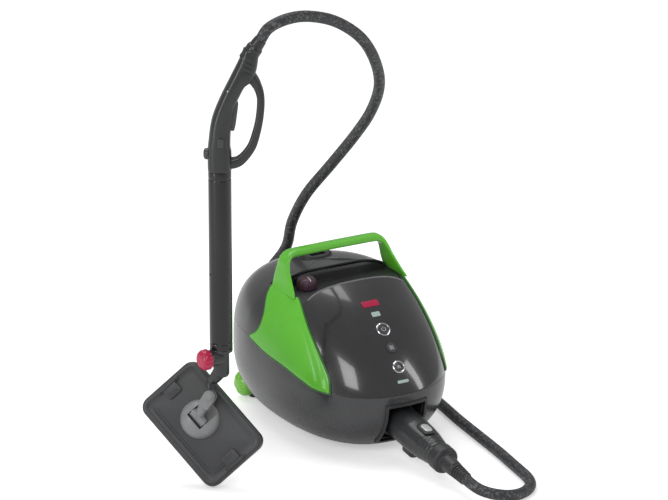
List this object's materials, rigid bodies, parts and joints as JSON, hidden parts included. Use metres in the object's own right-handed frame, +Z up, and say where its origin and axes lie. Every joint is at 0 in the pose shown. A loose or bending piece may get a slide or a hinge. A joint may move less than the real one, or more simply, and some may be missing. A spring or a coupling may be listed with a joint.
{
  "type": "canister steam cleaner",
  "caption": "Egg-shaped canister steam cleaner on wheels with a green carry handle, a steam hose, a steam gun with hand guard, an extension tube and a swivelling floor brush.",
  "frame": {"origin": "on the floor, under the middle of the box around the machine and the standing wand, leaving out the hose and its plug", "axes": "+Z up, -Y towards the machine's nose, +X to the right as seen from the front, so nodes called left lie at -X of the machine's middle"},
  "size_m": [0.5803, 0.7438, 0.7735],
  "materials": {
    "body_dark": "glossy moulded plastic",
    "body_upper": "glossy moulded plastic",
    "panel_gloss": "high gloss",
    "lime": "glossy lime green",
    "tray_dark": "satin",
    "inner_plastic": "satin",
    "aluminium_cast": "as cast",
    "steel": "bright",
    "brass": "machined",
    "tank_clear": "translucent",
    "pcb": "laminate",
    "chrome_ring": "bright",
    "lens": "polished",
    "crimson": "glossy",
    "tyre": "soft tread",
    "hub_lime": "glossy lime green",
    "plum": "satin",
    "button_dark": "satin",
    "silver": "silver lacquer",
    "hose_rubber": "ribbed",
    "gun_dark": "satin",
    "tube_black": "glossy",
    "brush_grey": "satin",
    "bristle": "nylon"
  },
  "bodies": {
    "cleaner": {"base_shell": "body_dark", "upper_shell": "body_upper", "front_panel": "panel_gloss", "side_panel_left": "lime", "side_panel_right": "lime", "carry_handle": "lime", "deck_tray": "tray_dark", "chassis": "inner_plastic", "boiler_lower": "aluminium_cast", "boiler_upper": "aluminium_cast", "boiler_bolts": "steel", "heating_element": "steel", "water_tank": "tank_clear", "pump_body": "inner_plastic", "steam_valves": "brass", "safety_valve": "brass", "boiler_sensors": "inner_plastic", "steam_pipes": "brass", "control_board": "pcb", "hose_socket": "tray_dark", "socket_frame": "tray_dark", "cord_gland": "hose_rubber", "screws": "steel", "panel_rings": "chrome_ring", "panel_lenses": "lens", "badge_plate": "crimson", "rear_axle": "steel", "plug_housing": "gun_dark", "hose_sleeve": "hose_rubber", "steam_hose": "hose_rubber", "gun_shell_left": "gun_dark", "gun_shell_right": "gun_dark", "gun_switch": "inner_plastic", "hose_swivel": "gun_dark", "extension_tube": "tube_black", "brush_connector": "gun_dark"},
    "wheel_left": {"tyre_left": "tyre", "hub_left": "hub_lime"},
    "wheel_right": {"tyre_right": "tyre", "hub_right": "hub_lime"},
    "caster": {"caster_fork": "inner_plastic"},
    "caster_roller": {"caster_wheel": "tyre"},
    "plunger": {"pump_plunger": "steel"},
    "filler_lift": {"filler_plug": "inner_plastic"},
    "filler_top": {"filler_cap": "tray_dark"},
    "knob": {"steam_knob": "plum"},
    "power": {"power_button": "silver"},
    "steam": {"steam_button": "button_dark"},
    "boost": {"boost_button": "silver"},
    "latch": {"plug_latch": "silver"},
    "trigger": {"gun_trigger": "button_dark"},
    "lock": {"gun_lock": "button_dark"},
    "release": {"release_button": "button_dark"},
    "scent_cap": {"dispenser_cap": "crimson"},
    "neck": {"brush_neck": "brush_grey"},
    "brush": {"brush_shell": "brush_grey", "brush_sole": "inner_plastic", "brush_bristles": "bristle"},
    "clip_left": {"cloth_clip_left": "brush_grey"},
    "clip_right": {"cloth_clip_right": "brush_grey"}
  },
  "joints": [
    {"name": "wheel_left_spin", "type": "hinge", "parent": "cleaner", "child": "wheel_left", "pos_m": [0.0402, 0.1471, 0.027], "axis": [1, 0, 0], "continuous": true},
    {"name": "wheel_right_spin", "type": "hinge", "parent": "cleaner", "child": "wheel_right", "pos_m": [0.2142, 0.1471, 0.027], "axis": [1, 0, 0], "continuous": true},
    {"name": "caster_swivel", "type": "hinge", "parent": "cleaner", "child": "caster", "pos_m": [0.1272, -0.1209, 0.034], "axis": [0, 0, 1], "continuous": true},
    {"name": "caster_spin", "type": "hinge", "parent": "caster", "child": "caster_roller", "pos_m": [0.1272, -0.1149, 0.014], "axis": [1, 0, 0], "continuous": true},
    {"name": "pump_stroke", "type": "slide", "parent": "cleaner", "child": "plunger", "axis": [0, 1, 0], "range_m": [0, 0.004], "stiffness_N_per_m": 300},
    {"name": "filler_pull", "type": "slide", "parent": "cleaner", "child": "filler_lift", "axis": [0, 0, 1], "range_m": [0, 0.03]},
    {"name": "filler_turn", "type": "hinge", "parent": "filler_lift", "child": "filler_top", "pos_m": [0.1272, 0.0791, 0.25], "axis": [0, 0, 1], "range_deg": [0, 360]},
    {"name": "steam_regulator", "type": "hinge", "parent": "cleaner", "child": "knob", "pos_m": [0.0652, -0.0029, 0.245], "axis": [0, 0, 1], "range_deg": [0, 270]},
    {"name": "power_press", "type": "slide", "parent": "cleaner", "child": "power", "axis": [0, 0.6332, -0.774], "range_m": [0, 0.002], "stiffness_N_per_m": 400},
    {"name": "steam_press", "type": "slide", "parent": "cleaner", "child": "steam", "axis": [0, 0.7018, -0.7123], "range_m": [0, 0.002], "stiffness_N_per_m": 400},
    {"name": "boost_press", "type": "slide", "parent": "cleaner", "child": "boost", "axis": [0, 0.7818, -0.6235], "range_m": [0, 0.002], "stiffness_N_per_m": 400},
    {"name": "latch_press", "type": "slide", "parent": "cleaner", "child": "latch", "axis": [0, 0.1392, -0.9903], "range_m": [0, 0.003], "stiffness_N_per_m": 400},
    {"name": "trigger_pull", "type": "hinge", "parent": "cleaner", "child": "trigger", "pos_m": [-0.16048, -0.1699, 0.636], "axis": [0.5, 0.866, 0], "range_deg": [0, 9], "stiffness_Nm_per_rad": 0.5},
    {"name": "lock_slide", "type": "slide", "parent": "cleaner", "child": "lock", "axis": [0, 0, 1], "range_m": [0, 0.004]},
    {"name": "release_press", "type": "slide", "parent": "cleaner", "child": "release", "axis": [0.866, -0.5, 0], "range_m": [0, 0.002], "stiffness_N_per_m": 500},
    {"name": "scent_cap_turn", "type": "hinge", "parent": "cleaner", "child": "scent_cap", "pos_m": [-0.20968, -0.16269, 0.2189], "axis": [-0.9962, -0.0872, 0], "range_deg": [0, 180]},
    {"name": "brush_swing", "type": "hinge", "parent": "cleaner", "child": "neck", "pos_m": [-0.19391, -0.1506, 0.1504], "axis": [-0.5785, -0.7405, 0.342], "range_deg": [-25, 25]},
    {"name": "brush_tilt", "type": "hinge", "parent": "neck", "child": "brush", "pos_m": [-0.20744, -0.13823, 0.11335], "axis": [0.3959, -0.6215, -0.676], "range_deg": [-6, 15]},
    {"name": "clip_left_hinge", "type": "hinge", "parent": "brush", "child": "clip_left", "pos_m": [-0.23391, -0.08616, 0.155], "axis": [-0.7131, 0.2556, -0.6528], "range_deg": [0, 30], "stiffness_Nm_per_rad": 0.1},
    {"name": "clip_right_hinge", "type": "hinge", "parent": "brush", "child": "clip_right", "pos_m": [-0.16977, -0.18685, 0.04549], "axis": [0.7131, -0.2556, 0.6528], "range_deg": [0, 30], "stiffness_Nm_per_rad": 0.1}
  ]
}
